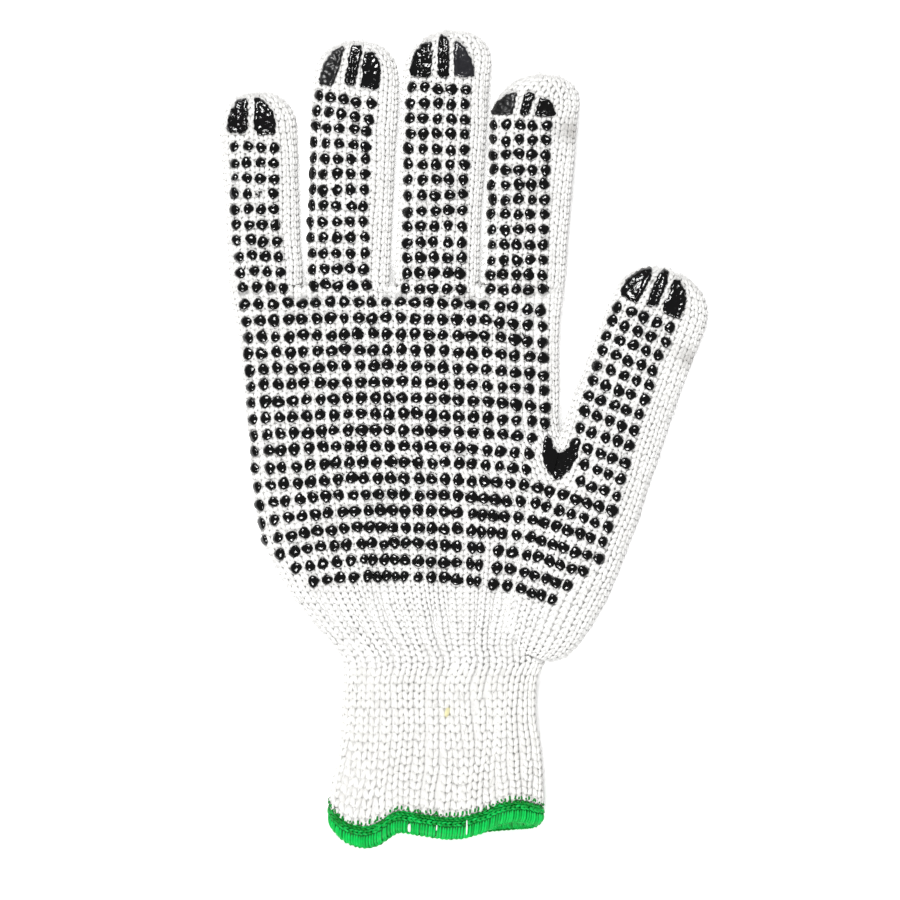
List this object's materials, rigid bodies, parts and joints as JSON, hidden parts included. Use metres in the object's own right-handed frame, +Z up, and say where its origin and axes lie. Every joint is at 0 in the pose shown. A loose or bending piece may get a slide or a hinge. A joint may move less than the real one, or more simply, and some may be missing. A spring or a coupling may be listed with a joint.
{
  "type": "cotton work glove",
  "caption": "Seamless string-knit cotton work glove for the right hand, hollow, with a dotted palm, moulded tip pads, a ribbed cuff and a green overlocked hem.",
  "frame": {"origin": "on the surface that the glove lies on, at the middle of its plan", "axes": "+Y from the cuff to the fingertips, +X to the thumb side, +Z up, out of the dotted palm"},
  "size_m": [0.15, 0.2522, 0.0156],
  "materials": {
    "cotton_knit": "matt, fuzzy plain knit of bleached cotton string",
    "cotton_rib": "matt, ribbed knit of bleached cotton string with elastic",
    "green_yarn": "soft, slightly shiny overlock stitches",
    "black_vinyl": "glossy, moulded in place"
  },
  "bodies": {
    "root": {"palm_body": "cotton_knit", "little_finger": "cotton_knit", "ring_finger": "cotton_knit", "middle_finger": "cotton_knit", "index_finger": "cotton_knit", "thumb": "cotton_knit", "rib_cuff": "cotton_rib", "overlock_hem": "green_yarn", "little_tip_pad_left": "black_vinyl", "little_tip_pad_right": "black_vinyl", "ring_tip_pad_left": "black_vinyl", "ring_tip_pad_middle": "black_vinyl", "ring_tip_pad_right": "black_vinyl", "middle_tip_pad_left": "black_vinyl", "middle_tip_pad_middle": "black_vinyl", "middle_tip_pad_right": "black_vinyl", "index_tip_pad_left": "black_vinyl", "index_tip_pad_middle": "black_vinyl", "index_tip_pad_right": "black_vinyl", "thumb_tip_pad_left": "black_vinyl", "thumb_tip_pad_middle": "black_vinyl", "thumb_tip_pad_right": "black_vinyl", "crotch_crescent": "black_vinyl"}
  },
  "joints": []
}
